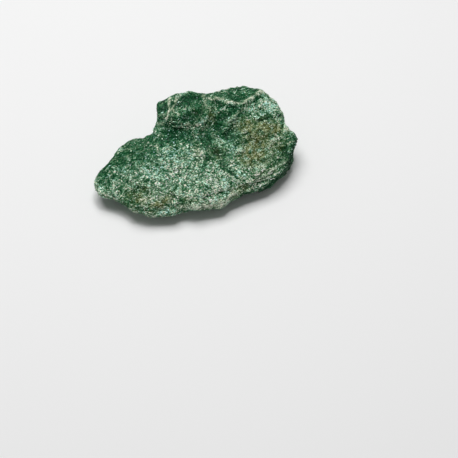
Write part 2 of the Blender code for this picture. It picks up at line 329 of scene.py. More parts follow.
# Pale seams and worn edges: line, half width, strength.
PALE_LINES = [
    ([(-9.6, 43.1), (-9.9, 40.7), (-9.9, 37.7), (-10.7, 34.8)], 0.30, 2.5),
    ([(-7.3, 43.2), (-7.7, 40.7), (-8.6, 38.8), (-9.8, 37.9)], 0.28, 2.5),
    ([(-8.1, 38.4), (-6.6, 37.4), (-5.9, 36.5)], 0.26, 2.0),
    ([(1.9, 43.5), (3.2, 42.6), (5.1, 42.2)], 0.40, 0.8),
    ([(5.1, 42.1), (6.8, 42.6), (8.1, 42.0), (9.6, 41.9)], 0.40, 1.1),
    ([(9.6, 41.9), (11.0, 41.1), (13.5, 40.9), (17.0, 40.5)], 0.33, 1.1),
    ([(17.0, 40.6), (17.8, 42.0), (19.4, 42.9), (20.9, 44.1), (23.6, 45.8)], 0.38, 1.2),
    ([(21.6, 44.6), (22.8, 45.5), (23.9, 45.1)], 0.60, 0.8),
    ([(16.6, 38.4), (14.0, 36.4), (11.0, 33.4)], 0.24, 0.6),
    ([(26.3, 43.0), (28.0, 42.0), (29.5, 40.1), (31.0, 37.2)], 0.45, 0.5),
    ([(-36.2, 13.6), (-35.9, 9.9), (-34.0, 8.2), (-31.0, 7.2)], 0.70, 0.5),
    ([(-5.2, 3.7), (-1.0, 3.4), (1.9, 3.5), (8.9, 4.5), (14.0, 8.2)], 0.70, 0.6),
    ([(22.8, 17.4), (26.6, 20.3), (31.0, 21.9), (32.6, 20.6)], 0.36, 0.35),
    ([(25.8, 15.8), (29.0, 18.4), (31.8, 20.4)], 0.50, 0.35),
    ([(22.0, 12.9), (25.6, 15.9)], 0.36, 0.3),
    ([(21.4, 17.2), (24.4, 19.6), (27.4, 21.4)], 0.30, 0.3),
    ([(2.4, 44.0), (2.9, 43.3), (2.7, 42.2), (3.1, 40.0), (3.9, 39.6)], 0.28, 0.6),
    ([(2.9, 41.6), (2.3, 38.6), (0.7, 35.7), (-0.9, 33.3)], 0.30, 0.4),
    ([(-3.6, 33.6), (-1.8, 32.9), (-0.7, 32.9), (1.1, 33.4)], 0.36, 0.4),
    ([(2.2, 31.1), (4.4, 32.4), (6.9, 34.5)], 0.28, 0.4),
    ([(11.3, 15.2), (12.8, 14.2), (14.7, 13.0)], 0.32, 0.6),
    ([(-4.5, 13.4), (-1.9, 11.7), (0.4, 9.6)], 0.26, 0.4),
    ([(-14.1, 36.1), (-11.8, 36.1)], 0.50, 0.5),
    ([(-14.1, 33.2), (-12.3, 33.2)], 0.50, 0.5),
    ([(-27.0, 23.6), (-22.0, 24.6), (-17.0, 26.6)], 0.26, 0.35),
    ([(-30.6, 20.4), (-25.0, 21.6), (-19.0, 23.6)], 0.26, 0.30),
]

# Cracks and steps, cut in and darkened with painted shade: line, half width, strength.
CRACKS = [
    ([(21.1, 33.8), (23.2, 34.7), (25.6, 35.3)], 0.42, 0.7),
    ([(25.6, 35.3), (29.2, 36.0), (31.4, 36.6)], 0.30, 0.3),
    ([(16.6, 29.6), (19.4, 30.2)], 0.40, 0.9),
    ([(31.2, 36.4), (30.9, 34.1), (30.1, 31.6)], 0.35, 0.8),
    ([(7.4, 19.2), (9.4, 17.8), (11.2, 16.2), (13.0, 15.1), (14.4, 13.9)], 0.50, 0.8),
    ([(7.8, 40.5), (11.4, 39.4), (15.6, 38.9)], 0.45, 0.5),
    ([(20.0, 41.4), (21.3, 42.3), (23.0, 43.6)], 0.60, 0.7),
    ([(-8.7, 42.6), (-8.9, 40.6), (-9.3, 38.9)], 0.45, 0.6),
    ([(-5.0, 5.7), (-2.4, 5.2), (0.4, 5.6)], 0.55, 0.8),
    ([(-12.9, 34.9), (-15.0, 34.6)], 0.60, 0.6),
    ([(24.6, 16.2), (26.2, 18.0), (28.6, 19.9), (31.2, 21.2)], 0.26, 0.6),
    ([(21.6, 13.6), (24.6, 17.0), (27.4, 19.9)], 0.22, 0.5),
    ([(26.6, 15.2), (29.4, 17.2), (31.8, 19.0)], 0.24, 0.5),
    ([(-22.6, 9.4), (-20.6, 10.2), (-18.6, 9.9)], 0.45, 0.6),
    ([(-17.0, 1.4), (-13.0, 3.9), (-8.0, 4.2)], 0.40, 0.6),
    ([(-28.6, 21.8), (-23.0, 23.2), (-17.6, 25.4)], 0.36, 0.4),
]

# Light and dark patches, partly the rock's own tone and partly painted light and shade of its
# relief: centre, half sizes, turn in degrees, strength.
TONE_AND_PAINTED_LIGHT_PATCHES = [
    # The block
    ((-5.4, 44.8), (2.0, 0.9), 0, 1.0),
    ((-1.2, 43.2), (3.0, 1.4), 0, -1.4),
    ((-13.8, 41.2), (1.4, 0.9), 30, 0.3),
    ((-5.4, 41.0), (2.8, 1.4), 0, -1.5),
    ((-12.6, 38.8), (2.4, 3.0), 0, -1.6),
    ((-6.8, 39.2), (1.8, 1.0), 0, -0.6),
    ((-3.4, 38.6), (2.6, 0.8), 0, 0.6),
    ((-4.1, 38.1), (1.0, 1.0), 0, 0.5),
    ((-7.4, 36.4), (1.3, 1.7), 0, 0.3),
    ((-1.6, 36.2), (4.4, 1.9), 8, -2.0),
    ((-9.6, 35.4), (1.0, 2.0), 0, 0.3),
    ((-2.6, 34.6), (2.0, 1.0), 0, -0.7),
    ((-7.2, 32.4), (1.7, 1.0), 0, 0.6),
    ((-2.0, 32.2), (4.2, 1.0), 4, 0.7),
    # The crest and the slopes below it
    ((21.8, 41.2), (1.3, 1.0), 0, -0.9),
    ((10.4, 40.4), (3.6, 0.9), -12, 0.6),
    ((24.9, 40.4), (4.2, 2.7), -30, 1.0),
    ((13.2, 38.9), (2.9, 1.3), -8, -0.8),
    ((18.8, 39.0), (1.6, 1.2), 0, 1.0),
    ((26.6, 38.8), (1.6, 1.4), 0, 0.3),
    ((6.8, 37.8), (2.3, 2.0), 0, 1.1),
    ((12.2, 36.6), (2.2, 1.5), 0, -0.8),
    ((17.0, 36.8), (1.4, 1.3), 0, -0.5),
    ((27.6, 36.9), (1.9, 1.0), 8, -0.5),
    ((29.4, 37.2), (1.4, 1.2), 0, -0.5),
    # The left lobe
    ((-28.0, 24.0), (1.3, 1.2), 0, 1.1),
    ((-23.4, 23.8), (2.2, 0.8), 25, 0.5),
    ((-22.0, 21.8), (8.0, 2.6), 28, -0.7),
    ((-30.8, 20.8), (1.4, 1.0), 40, 0.9),
    ((-21.8, 21.4), (2.4, 1.6), 28, -0.3),
    ((-24.0, 20.2), (1.6, 1.0), 30, 0.4),
    ((-27.4, 19.4), (2.6, 1.2), 30, -0.3),
    ((-20.0, 17.7), (1.8, 1.2), 0, -0.6),
    ((-17.0, 15.6), (3.4, 2.0), 0, 0.6),
    ((-32.2, 15.4), (3.8, 2.2), 48, -0.8),
    ((-26.0, 12.0), (7.0, 4.0), 0, 0.22),
    ((-24.4, 12.4), (2.0, 1.6), 0, -0.7),
    ((-34.2, 9.4), (1.4, 2.0), 30, 0.5),
    ((-30.6, 7.6), (3.0, 1.2), -20, 0.3),
    ((-29.4, 6.0), (1.8, 0.8), -30, -0.5),
    # Painted shadow at the lower left edge
    ((-22.6, 5.4), (4.0, 2.4), 0, -1.0),
    ((-27.0, 4.0), (2.4, 1.4), -25, -0.8),
    ((-17.2, 3.5), (1.8, 1.3), 0, 0.8),
    # The shelf, the plateau and the lower right edge
    ((25.6, 36.4), (3.2, 1.1), 8, -0.6),
    ((20.6, 34.8), (1.8, 1.2), 0, 0.4),
    ((32.0, 31.9), (1.6, 2.4), 40, 0.7),
    ((17.2, 30.6), (2.0, 1.2), 0, 0.4),
    ((28.0, 30.0), (2.2, 1.8), 0, -0.5),
    ((17.6, 28.2), (1.6, 1.2), 0, 0.4),
    ((28.4, 27.6), (1.4, 1.6), 0, 0.7),
    ((34.2, 28.0), (2.2, 1.6), 0, -1.1),
    ((25.4, 26.6), (2.6, 2.0), 0, -0.3),
    ((31.0, 27.4), (1.5, 1.5), 0, -0.6),
    ((18.2, 25.6), (1.4, 1.2), 0, 0.3),
    ((20.4, 24.0), (1.6, 1.4), 0, 0.3),
    ((28.8, 23.6), (1.4, 1.2), 0, -0.6),
    ((31.6, 23.2), (1.6, 2.6), 0, -1.1),
    ((21.4, 21.4), (1.4, 1.4), 0, 0.4),
    ((24.4, 20.6), (2.6, 1.5), 20, -0.5),
    ((33.2, 21.2), (1.4, 3.0), -20, -1.0),
    ((28.4, 19.2), (1.8, 1.2), 38, 0.4),
    ((23.0, 17.0), (2.0, 1.2), 30, 0.3),
    ((23.5, 15.5), (7.0, 4.0), 35, 0.25),
    ((30.4, 12.6), (3.6, 1.4), 40, -0.5),
    ((24.8, 11.6), (2.0, 1.1), 30, -0.6),
    ((20.2, 11.3), (3.2, 1.3), 25, 0.9),
    ((24.0, 11.4), (2.4, 1.0), 25, -0.4),
    # The riser and its scoops
    ((10.4, 35.6), (1.4, 1.2), 0, -0.5),
    ((8.2, 34.0), (2.8, 6.0), 10, -0.5),
    ((9.4, 33.2), (2.0, 1.5), 0, -0.4),
    ((13.8, 33.0), (2.2, 1.8), 20, 0.8),
    ((5.2, 32.2), (1.8, 1.4), 0, -0.7),
    ((-7.8, 29.5), (5.6, 2.6), -10, -0.95),
    ((-12.0, 29.4), (2.0, 1.3), 0, 0.9),
    ((-10.4, 27.6), (3.2, 1.4), 0, -0.8),
    ((8.1, 27.6), (1.5, 1.3), 0, 1.0),
    ((14.4, 28.0), (2.6, 1.7), 0, -1.3),
    ((-8.4, 27.2), (2.6, 1.1), -10, -0.5),
    ((3.6, 27.0), (3.2, 1.8), 6, -0.9),
    ((4.6, 25.8), (1.6, 1.2), 0, -0.5),
    ((11.6, 25.8), (2.0, 1.4), 0, -0.1),
    # The lower rim
    ((7.8, 9.0), (2.4, 1.4), 0, 0.3),
    ((-12.8, 8.0), (2.0, 1.2), 20, -0.4),
    ((-11.0, 8.2), (2.0, 1.4), 0, -0.4),
    ((3.4, 7.6), (5.4, 0.9), 13, 0.6),
    ((-5.6, 7.0), (1.7, 1.7), 0, 0.7),
    ((14.2, 7.4), (2.4, 1.3), 20, -0.5),
    ((-5.0, 5.9), (2.4, 0.8), 0, -0.5),
    ((4.0, 5.0), (7.0, 1.7), 3, 1.25),
    ((-11.4, 2.4), (4.4, 1.5), 4, 1.25),
    # The broad face
    ((8.2, 24.8), (1.4, 1.0), 0, 0.4),
    ((-6.4, 23.6), (1.4, 1.2), 0, -0.3),
    ((-5.0, 24.0), (3.6, 1.8), 0, 0.3),
    ((1.8, 24.0), (1.8, 1.6), 0, -0.6),
    ((13.6, 23.8), (1.6, 1.4), 0, 0.6),
    ((7.6, 22.8), (3.0, 2.4), 0, -1.4),
    ((-13.4, 22.0), (2.6, 1.3), 0, -0.6),
    ((3.9, 20.6), (1.6, 0.9), 0, -0.8),
    ((14.6, 21.2), (1.4, 2.0), 0, 0.5),
    ((-4.0, 20.0), (11.0, 5.0), -6, 0.24),
    ((11.0, 19.8), (2.0, 1.6), 0, -0.5),
    ((4.4, 17.6), (3.0, 0.8), -25, -0.4),
    ((-4.4, 16.8), (2.0, 1.4), 0, 0.5),
    ((-10.2, 16.2), (1.6, 1.4), 0, -0.4),
    ((5.0, 15.6), (3.0, 0.9), -35, 0.4),
    ((11.4, 15.6), (3.4, 1.2), -30, -0.4),
    ((-6.0, 14.2), (1.6, 1.2), 0, -0.5),
    ((-14.8, 12.6), (1.4, 1.1), 0, -0.5),
    ((13.0, 12.8), (2.4, 1.6), 0, 0.3),
    ((-13.0, 12.0), (2.4, 1.6), 20, 0.6),
    ((-5.2, 12.4), (2.2, 1.2), 0, 0.3),
    ((2.0, 12.0), (15.0, 4.5), 0, 0.32),
    ((4.4, 12.2), (2.4, 1.4), 0, 0.3),
]

# Spots of firmer rock with few loose flakes: centre, half sizes, turn in degrees, strength.
CALM_SPOTS = [
    ((27.0, 17.4), (6.4, 2.9), 38, 0.8),
    ((4.0, 4.4), (9.0, 1.6), 5, 0.7),
    ((32.0, 31.9), (2.0, 2.8), 40, 1.2),
    ((-35.6, 10.5), (1.2, 3.2), 15, 0.5),
    ((-28.0, 24.0), (1.2, 1.2), 0, 0.4),
]

# Olive stains: centre, half sizes, turn in degrees, strength.
STAINS = [
    ((22.8, 32.0), (7.4, 3.0), 2, 0.9),
    ((21.0, 26.0), (4.2, 5.4), 8, 1.0),
    ((19.6, 21.4), (4.2, 3.4), 0, 1.0),
    ((28.0, 31.2), (3.0, 2.6), 0, 0.7),
    ((16.8, 33.2), (2.6, 1.8), 0, 0.8),
    ((7.4, 22.6), (2.8, 2.6), 20, 0.6),
    ((0.2, 23.2), (1.1, 2.6), 0, 0.4),
    ((5.0, 36.6), (1.8, 3.2), 20, 0.6),
    ((-1.1, 36.8), (1.4, 1.2), 0, 0.4),
    ((-20.6, 7.2), (4.4, 2.9), 12, 0.9),
    ((-12.2, 5.1), (4.8, 1.6), 36, 1.1),
    ((-2.6, 6.2), (3.0, 1.3), 0, 0.4),
    ((4.0, 4.4), (8.0, 1.5), 5, 0.32),
    ((15.8, 9.9), (3.6, 1.8), 20, 0.6),
    ((24.4, 15.4), (6.0, 2.4), 38, 0.3),
    ((28.8, 25.2), (3.4, 2.6), 0, 0.6),
]

# Spots with a bluish (below 0) or beige cast: centre, half sizes, turn in degrees, strength.
CASTS = [
    ((-16.0, 6.0), (8.0, 4.5), 10, 0.25),
    ((-21.0, 13.0), (4.0, 3.0), 0, 0.15),
    ((0.2, 23.0), (2.0, 3.0), 0, 0.25),
    ((7.0, 22.0), (3.5, 3.0), 0, 0.15),
    ((6.2, 12.8), (3.4, 2.2), 0, 0.25),
    ((-6.0, 16.0), (4.0, 2.0), 0, 0.15),
    ((3.0, 4.8), (9.0, 2.0), 5, 0.12),
    ((24.0, 15.0), (7.0, 4.0), 38, 0.28),
    ((24.9, 40.2), (5.0, 3.2), -30, -0.12),
    ((-8.0, 22.4), (6.0, 3.0), 0, -0.15),
    ((-11.4, 2.4), (5.0, 1.5), 4, -0.25),
    ((-8.0, 30.6), (6.0, 2.8), -16, -0.20),
    ((11.0, 25.2), (4.0, 2.6), 0, -0.20),
    ((-16.4, 16.4), (3.6, 2.0), 0, -0.15),
]

# Mica greens from the gaps between flakes to the palest flakes and painted glints, in linear light.
TONES = [
    (0.00, (0.001, 0.032, 0.010)),
    (0.25, (0.002, 0.092, 0.030)),
    (0.50, (0.064, 0.190, 0.092)),
    (0.75, (0.210, 0.362, 0.236)),
    (1.00, (0.820, 0.960, 0.850)),
]
STAINED_TONES = [
    (0.00, (0.020, 0.034, 0.006)),
    (0.25, (0.062, 0.084, 0.016)),
    (0.50, (0.140, 0.165, 0.046)),
    (0.75, (0.250, 0.300, 0.125)),
    (1.00, (0.560, 0.640, 0.390)),
]
SEAM_TONES = [
    (0.00, (0.070, 0.150, 0.075)),
    (0.50, (0.430, 0.510, 0.350)),
    (1.00, (0.850, 0.870, 0.720)),
]

# Tints of single flakes: bluish, deep green, beige and greyish.
TINTS = [
    (0.00, (0.78, 1.01, 1.16)),
    (0.35, (0.76, 1.07, 0.90)),
    (0.70, (1.28, 1.00, 0.92)),
    (1.00, (1.13, 0.97, 1.13)),
]


def ease(share):
    """0 below 0, 1 above 1, and a smooth turn between."""
    share = np.clip(share, 0.0, 1.0)
    return share * share * (3.0 - 2.0 * share)


def rise(values, start, width):
    """0 up to the start, 1 from this width after it, and a smooth turn between."""
    return ease((values - start) / width)


def left_of(points, line):
    """Distance from a line, negative on its right."""
    start, end = np.array(line[:-1]), np.array(line[1:])
    run = end - start
    away = points[:, None, :] - start
    share = np.clip((away * run).sum(2) / (run * run).sum(1), 0.0, 1.0)
    way = away - share[:, :, None] * run
    distance = np.hypot(way[:, :, 0], way[:, :, 1])
    cross = run[:, 0] * away[:, :, 1] - run[:, 1] * away[:, :, 0]
    return (distance * np.sign(cross))[np.arange(len(points)), distance.argmin(1)]


def bands(points, lines):
    """The strongest of these lines at each point: its strength on the line, 0 away from it."""
    strongest = np.zeros(len(points))
    for line, width, strength in lines:
        band = strength * np.exp(-((left_of(points, line) / width) ** 2))
        strongest = np.maximum(strongest, band)
    return strongest


def oval(points, centre, radii, turn):
    """1 at the centre of an oval, falling smoothly to 0 well outside it."""
    away = points - np.array(centre)
    c, s = math.cos(math.radians(turn)), math.sin(math.radians(turn))
    along = (away[:, 0] * c + away[:, 1] * s) / radii[0]
    across = (away[:, 1] * c - away[:, 0] * s) / radii[1]
    return np.exp(-(along**2 + across**2))


def spots(points, listed):
    """The sum of these ovals at each point, each with its strength."""
    total = np.zeros(len(points))
    for centre, radii, turn, strength in listed:
        total += strength * oval(points, centre, radii, turn)
    return total


def fractal(points, size, octaves, seed):
    """Fractal noise, about -1 to 1, with lumps of this size."""
    shift = Vector([seed * step for step in SEED_STEP])
    form = (OCTAVE_FALL, OCTAVE_STEP, octaves)
    return np.array([noise.fractal(Vector(point) / size + shift, *form) for point in points])


def uneven(points, middle, reach, size, octaves, seed):
    """Fractal noise of this reach about a middle value."""
    return middle + reach * fractal(points, size, octaves, seed)


def mottled(points, middle, mottles):
    """A middle value with several noises added."""
    for mottle in mottles:
        middle = uneven(points, middle, *mottle)
    return middle


def waves(points, across, upward, reach):
    """Waves in x and in y of this reach."""
    return reach * np.column_stack([fractal(points, *across), fractal(points, *upward)])


def unit(vectors):
    """The same vectors, each with length 1."""
    return vectors / np.maximum(np.linalg.norm(vectors, axis=1), TINY)[:, None]


def read(mesh, what):
    """The mesh's points ("co") or point normals ("normal") as an array."""
    flat = np.empty(len(mesh.vertices) * 3, np.float32)
    mesh.vertices.foreach_get(what, flat)
    return flat.reshape(-1, 3).astype(float)


def face_on_origin(points):
    """Where the face-on origin lies, in millimetres along the face-on axes."""
    turned = points / MM @ FACE_ON.T
    middle = (turned.min(0) + turned.max(0)) / 2
    return np.array([middle[0] - RIM_MIDDLE[0], middle[1] - RIM_MIDDLE[1], 0.0])


def linked(name, data):
    """An object of this data in the scene."""
    obj = bpy.data.objects.new(name, data)
    bpy.context.scene.collection.objects.link(obj)
    return obj


def fine_copy(stone):
    """A closed copy of the stone's solid with small even faces."""
    soup = bmesh.new()
    soup.from_mesh(stone.data)
    bmesh.ops.remove_doubles(soup, verts=soup.verts, dist=WELD * MM)
    mesh = bpy.data.meshes.new("solid")
    soup.to_mesh(mesh)
    soup.free()
    solid = linked("solid", mesh)
    remesh = solid.modifiers.new("Remesh", "REMESH")
    remesh.mode = "VOXEL"
    remesh.voxel_size = VOXEL * MM
    bpy.context.view_layer.update()
    graph = bpy.context.evaluated_depsgraph_get()
    fine = bpy.data.meshes.new_from_object(solid.evaluated_get(graph))
    bpy.data.objects.remove(solid, do_unlink=True)
    return fine


def bulges(mesh, points, normals, rounds):
    """How far each point stands out of the surface smoothed this many times."""
    ends = np.empty(len(mesh.edges) * 2, np.int32)
    mesh.edges.foreach_get("vertices", ends)
    near, far = ends.reshape(-1, 2).T
    count = len(points)
    meeting = np.bincount(near, minlength=count) + np.bincount(far, minlength=count)
    smoothed = points.copy()
    for _ in range(rounds):
        for axis in range(3):
            values = smoothed[:, axis].copy()
            total = np.bincount(near, values[far], count) + np.bincount(far, values[near], count)
            smoothed[:, axis] = (values + total / meeting) / 2.0
    return ((points - smoothed) * normals).sum(1)


def painted_relief_shade(mesh, points, normals, rounds, slope, least, most):
    """Painted shade in hollows and lighter edges, partly wear and partly painted highlight, of the
    size that this many rounds smooth away.
    """
    return np.clip(slope * bulges(mesh, points, normals, rounds), least, most)


def wandered(points):
    """Face-on x and y, waved a little so that no line or patch runs too true."""
    xy = points[:, :2]
    for wave in WAVES:
        xy = xy + waves(points, *wave)
    return xy


def seams_and_cracks(points, xy, front):
    """Pale seams, and cracks darkened with painted shade, on the broad face's side, both broken in
    places.
    """
    seam = bands(xy, PALE_LINES) * np.clip(uneven(points, *SEAM_BREAKS), *SEAM_LIMITS)
    crack = bands(xy, CRACKS) * np.clip(uneven(points, *CRACK_BREAKS), *CRACK_LIMITS)
    return seam * front, crack * front


def front_side(normals):
    """1 on the broad face's side of the stone, 0 behind it."""
    return rise(normals[:, 2], *FRONT_RISE)


def edge_side(xy):
    """1 on the steep side below the lower right edge."""
    below_top = ease((SIDE_TOP - xy[:, 1]) / SIDE_FADE)
    return rise(left_of(xy, RIGHT_EDGE), *SIDE_RISE) * below_top


def turning(xy):
    """1 where the grain runs across, round the scoops."""
    return ease(TURNED_STRENGTH * oval(xy, *TURNED_ZONE))


def smoothness(xy, front):
    """1 where the flakes lie flat and close, on the falling margin and behind the crest."""
    outer = np.maximum(left_of(xy, MARGIN), left_of(xy, CREST))
    behind, added = SMOOTH_SHARES
    return rise(outer, *SMOOTH_RISE) * (behind + added * front)


def painted_rim_highlight(normals):
    """1 on the upper rim, where the surface turns from the broad face to the back. It carries a
    painted highlight.
    """
    upper = rise(normals[:, 1], *RIM_RISE)
    return np.exp(-((normals[:, 2] / RIM_WIDTH) ** 2)) * upper


def painted_side_shade(xy, normals):
    """Painted shade on the steep side below the lower right edge: 1 there, less where it faces down.
    """
    under, added = UNDER_SIDE_SHARES
    return edge_side(xy) * (under + added * rise(normals[:, 2], *UPWARD_RISE))


def stone_shade(points, xy, normals, front, smooth, side):
    """How light the rock is, 0 to 1, but for seams, cracks and relief: its own tone with painted
    light and shade.
    """
    shade = mottled(points, MIDDLE_SHADE, MOTTLES)
    shade += PATCH_LIGHT * spots(xy, TONE_AND_PAINTED_LIGHT_PATCHES) * front
    shade -= SMOOTH_PAINTED_SHADE * smooth
    beyond = rise(left_of(xy, BLOCK_FOOT), *BLOCK_RISE)
    shade -= BLOCK_DARK * beyond * (1.0 - smooth) * front
    shade -= SIDE_PAINTED_SHADE * side * np.clip(uneven(points, *SIDE_MOTTLE), *SIDE_LIMITS)
    shade += RIM_LIGHT * painted_rim_highlight(normals)
    return shade


def stone_stain(points, xy, front):
    """How olive the rock is, 0 to 1."""
    stain = HIDDEN_STAIN * ease(uneven(points, *HIDDEN_STAINS)) * (1.0 - front)
    stain += spots(xy, STAINS) * front
    return stain * uneven(points, *STAIN_MOTTLE)


def marks(points, xy, normals, front, smooth, seam, crack, relief):
    """Shade (the rock's tone with painted light and shade), stain, seam and the like of the stone at
    face-on points, each about 0 to 1.
    """
    side = painted_side_shade(xy, normals)
    shade = stone_shade(points, xy, normals, front, smooth, side)
    shade += relief
    shade += SEAM_LIGHT * seam - CRACK_PAINTED_SHADE * crack
    flat = smooth + HIDDEN_SMOOTH * (1.0 - front) + SIDE_SMOOTH * side
    return {
        "shade": np.clip(shade, 0.0, 1.0),
        "stain": np.clip(stone_stain(points, xy, front), 0.0, 1.0),
        "seam": np.clip(seam, 0.0, 1.0),
        "smooth": np.clip(flat, 0.0, 1.0),
        "turned": turning(xy) * front,
        "calm": np.clip(spots(xy, CALM_SPOTS) * front, 0.0, 1.0),
        "cast": uneven(points, *CAST_MOTTLE) + spots(xy, CASTS) * front,
    }


def sheet_normals(points):
    """The way the gently waving sheets face at face-on points."""
    waved = np.tile(SHEET_NORMAL, (len(points), 1))
    waved[:, :2] += waves(points, *SWAY)
    return unit(waved)


def laminae(points, sheets, thickness, seed):
    """Height of thin torn sheet edges, -0.5 to 0.5, along the sheets."""
    waving = SHEET_WAVE * fractal(points, *SHEET_WAVE_NOISE, seed)
    level = (points * sheets).sum(1) / thickness + waving
    share = level - np.floor(level)
    return ease(share / SHEET_LIP) * (1.0 - rise(share, SHEET_LIP, SHEET_LIP_FALL)) - 0.5


def facets(points, size, random):
    """Small tilted facets: the offset of each point on the plane of its nearest flake."""
    count = int(len(points) * VOXEL**2 / size**2)
    seeds = points[random.choice(len(points), count, replace=False)]
    tilts = random.normal(0.0, 1.0, (count, 3))
    tree = KDTree(count)
    for index, seed in enumerate(seeds):
        tree.insert(seed, index)
    tree.balance()
    nearest = np.array([tree.find(point)[1] for point in points])
    return ((points - seeds[nearest]) * tilts[nearest]).sum(1) / size


def roughen(points, normals, smooth, seam, crack, random):
    """Moves face-on points out and in: torn sheet edges, flake facets, pits and grain."""
    sheets = sheet_normals(points)
    torn = ease((1.0 - np.abs((normals * sheets).sum(1))) / STEEP)
    flaky = 1.0 - SMOOTH_FLATTENS * smooth
    out = np.zeros(len(points))
    for flat, steep, thickness, seed in TORN_EDGES:
        out += (flat + steep * torn) * laminae(points, sheets, thickness, seed)
    for height, width in FACETS:
        facet = np.clip(facets(points, width, random), -FACET_MOST, FACET_MOST)
        out += height * flaky * facet
    out += mottled(points, 0.0, GRAINS)
    out -= PIT_DEPTH * rise(fractal(points, *PIT_NOISE), *PIT_RISE) * flaky
    out += SEAM_HEIGHT * seam - CRACK_DEPTH * crack
    return points + normals * out[:, None]


def to_row(points, origin):
    """Face-on millimetres to metres in the row frame. Nothing goes under the base."""
    moved = (points + origin) @ FACE_ON * MM
    moved[:, 2] = np.maximum(moved[:, 2], 0.0)
    return moved


def add_marks(mesh, mark):
    """Keeps the marks on the mesh's points, where its material finds them."""
    for name, values in mark.items():
        layer = mesh.attributes.new(name, "FLOAT", "POINT")
        layer.data.foreach_set("value", values.astype(np.float32))


def make_surface(stone, origin, random):
    """The stone's rough surface, and the marks of its points."""
    mesh = fine_copy(stone)
    points = read(mesh, "co") / MM @ FACE_ON.T - origin
    normals = read(mesh, "normal") @ FACE_ON.T
    xy = wandered(points)
    front = front_side(normals)
    smooth = smoothness(xy, front)
    seam, crack = seams_and_cracks(points, xy, front)
    moved = roughen(points, normals, smooth, seam, crack, random)
    relief = painted_relief_shade(mesh, moved, normals, *FINE_RELIEF)
    relief += painted_relief_shade(mesh, moved, normals, *BROAD_RELIEF)
    mark = marks(points, xy, normals, front, smooth, seam, crack, relief)
    mesh.vertices.foreach_set("co", to_row(moved, origin).astype(np.float32).ravel())
    mesh.update()
    add_marks(mesh, mark)
    mesh.polygons.foreach_set("use_smooth", [True] * len(mesh.polygons))
    mesh.name = "fuchsite_surface"
    return linked("fuchsite_surface", mesh), mark


def scatter(mesh, mark, origin, count, random):
    """Face-on places and normals spread over a mesh but for its base, and the nearest points."""
    mesh.calc_loop_triangles()
    corners = np.empty(len(mesh.loop_triangles) * 3, np.int32)
    mesh.loop_triangles.foreach_get("vertices", corners)
    corners = corners.reshape(-1, 3)
    triangles = (read(mesh, "co") / MM)[corners]
    cross = np.cross(triangles[:, 1] - triangles[:, 0], triangles[:, 2] - triangles[:, 0])
    area = np.linalg.norm(cross, axis=1)
    area[triangles[:, :, 2].max(1) < BASE_HEIGHT] = 0.0
    behind, added = FLAKE_SHARES
    share = area * (behind + added * rise(unit(cross) @ OUT, *FLAKED_RISE))
    for name, less in FEWER_FLAKES.items():
        share *= 1.0 - less * mark[name][corners[:, 0]]
    chosen = random.choice(len(area), count, p=share / share.sum())
    a, b = np.sqrt(random.random(count)), random.random(count)
    weights = np.column_stack([1.0 - a, a * (1.0 - b), a * b])
    places = (triangles[chosen] * weights[:, :, None]).sum(1)
    nearest = corners[chosen, weights.argmax(1)]
    return places @ FACE_ON.T - origin, unit(cross[chosen]) @ FACE_ON.T, nearest


def flake_axes(places, normals, turned, random):
    """Each flake's long way, cross way and upper side, and how level the rock is with its sheets."""
    sheets = sheet_normals(places)
    facing = (normals * sheets).sum(1)
    sheets *= np.where(facing < 0.0, -1.0, 1.0)[:, None]
    facing = np.abs(facing)
    pull = ROCK_PULL * normals * facing[:, None] ** ROCK_PULL_POWER
    lie = unit(SHEET_PULL * sheets + pull)
    lie = unit(lie + random.normal(0.0, TILT_SPREAD, lie.shape))
    run = np.radians(FLAKE_RUN + FLAKE_TURN * turned)
    run = np.column_stack([np.cos(run), np.sin(run), np.zeros(len(run))])
    across = unit(np.cross(lie, run + random.normal(0.0, RUN_SPREAD, lie.shape)))
    return np.cross(across, lie), across, lie, facing


def flake_tones(shade, random):
    """Each flake's tone and hue: near its rock's shade, and a few flakes get a painted glint."""
    count = len(shade)
    least, added = TONE_SPREAD
    tone = shade + random.normal(TONE_MIDDLE, 1.0, count) * (least + added * shade)
    glinting = random.random(count) < PAINTED_GLINT_SHARE
    tone += np.where(glinting, PAINTED_GLINT_TONE - SHADE_HIDDEN * shade, 0.0)
    hue = random.random(count) * np.where(glinting, PAINTED_GLINT_HUE, 1.0)
    return np.clip(tone, 0.0, 1.0), hue


def flake_ring(sides, size, stretch, along, across, random):
    """The uneven outline of one flake round its middle."""
    turns = (np.arange(sides) + random.uniform(*CORNER_TURN, sides)) * 2.0 * math.pi / sides
    reach = size * random.uniform(*CORNER_REACH, sides)
    ring = np.outer(np.cos(turns) * reach * stretch, along)
    return ring + np.outer(np.sin(turns) * reach / stretch, across)


def flake_faces(first, sides):
    """The faces of one flake, whose upper corners come first and then its lower ones."""
    upper, lower = range(first, first + sides), range(first + sides, first + 2 * sides)
    faces = [list(upper), list(reversed(lower))]
    for side in range(sides):
        after = (side + 1) % sides
        faces.append([lower[side], lower[after], upper[after], upper[side]])
    return faces


